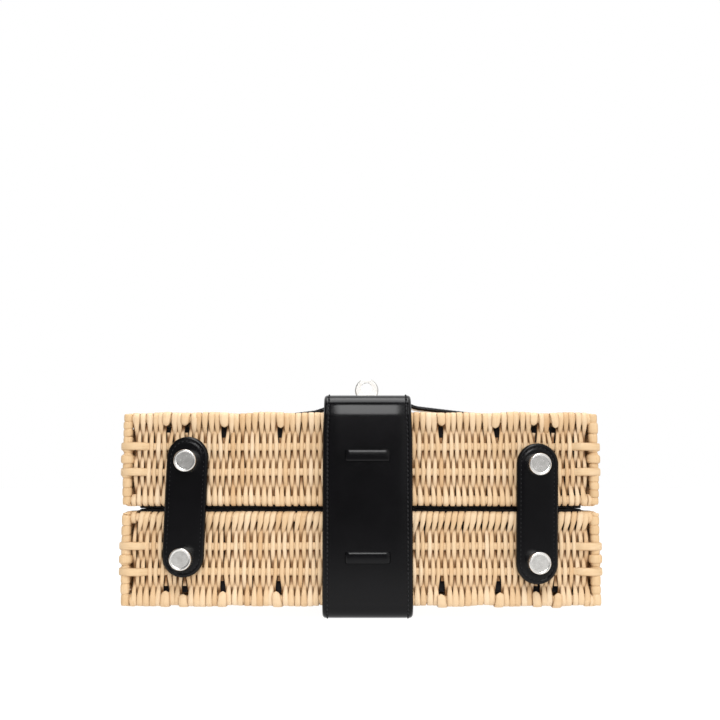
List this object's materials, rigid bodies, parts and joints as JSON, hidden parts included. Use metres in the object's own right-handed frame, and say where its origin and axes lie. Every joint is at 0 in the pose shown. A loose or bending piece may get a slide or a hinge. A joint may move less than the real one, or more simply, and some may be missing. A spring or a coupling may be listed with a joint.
{
  "type": "basket box bag",
  "caption": "Hinged wicker box bag of two shallow trays with leather band, hinge tabs, metal feet and a turnlock.",
  "frame": {"origin": "on the underside of the base band, at the middle of the trays, where the bag rests as it lies on its back", "axes": "+X along the width of the bag, +Y from its base to its mouth side, +Z out of its front face"},
  "size_m": [0.226, 0.2089, 0.115],
  "materials": {
    "wicker": "natural split cane, semi-matt",
    "lining_cloth": "matt woven cloth",
    "black_leather": "smooth, semi-gloss",
    "polished_nickel": "polished"
  },
  "bodies": {
    "back_half": {"back_tray": "wicker", "back_lining": "lining_cloth", "base_band": "black_leather", "lower_lace": "black_leather", "band_rivets": "polished_nickel", "hinge_tab_left": "black_leather", "hinge_tab_right": "black_leather", "foot_back_left": "polished_nickel", "foot_back_right": "polished_nickel", "foot_nuts_back": "polished_nickel", "keeper": "black_leather", "keeper_rivets": "polished_nickel", "handle_chape_left": "black_leather", "handle_chape_right": "black_leather", "chape_rivets": "polished_nickel"},
    "front_half": {"front_tray": "wicker", "front_lining": "lining_cloth", "upper_lace": "black_leather", "foot_front_left": "polished_nickel", "foot_front_right": "polished_nickel", "foot_nuts_front": "polished_nickel", "closing_tongue": "black_leather", "lock_plate": "polished_nickel", "lock_backplate": "polished_nickel", "lock_rivets": "polished_nickel", "side_strap_left": "black_leather", "side_strap_right": "black_leather", "strap_plate_left": "polished_nickel", "strap_plate_right": "polished_nickel", "plate_pins_left": "polished_nickel", "plate_pins_right": "polished_nickel", "strap_rivets": "polished_nickel"},
    "turn_knob": {"turn_knob": "polished_nickel", "knob_retainer": "polished_nickel"},
    "handle": {"handle": "black_leather", "handle_ring_left": "polished_nickel", "handle_ring_right": "polished_nickel"}
  },
  "joints": [
    {"name": "lid_hinge", "type": "hinge", "parent": "back_half", "child": "front_half", "pos_m": [0, -0.0741, 0.04915], "axis": [1, 0, 0], "range_deg": [0, 95], "deforming": ["base_band", "hinge_tab_left", "hinge_tab_right"]},
    {"name": "lock_turn", "type": "hinge", "parent": "front_half", "child": "turn_knob", "pos_m": [0.0032, 0, 0.1062], "axis": [0, 0, 1], "range_deg": [0, 90]},
    {"name": "handle_swing", "type": "hinge", "parent": "back_half", "child": "handle", "pos_m": [0, 0.0776, 0.027], "axis": [1, 0, 0], "range_deg": [-38, 95]}
  ]
}
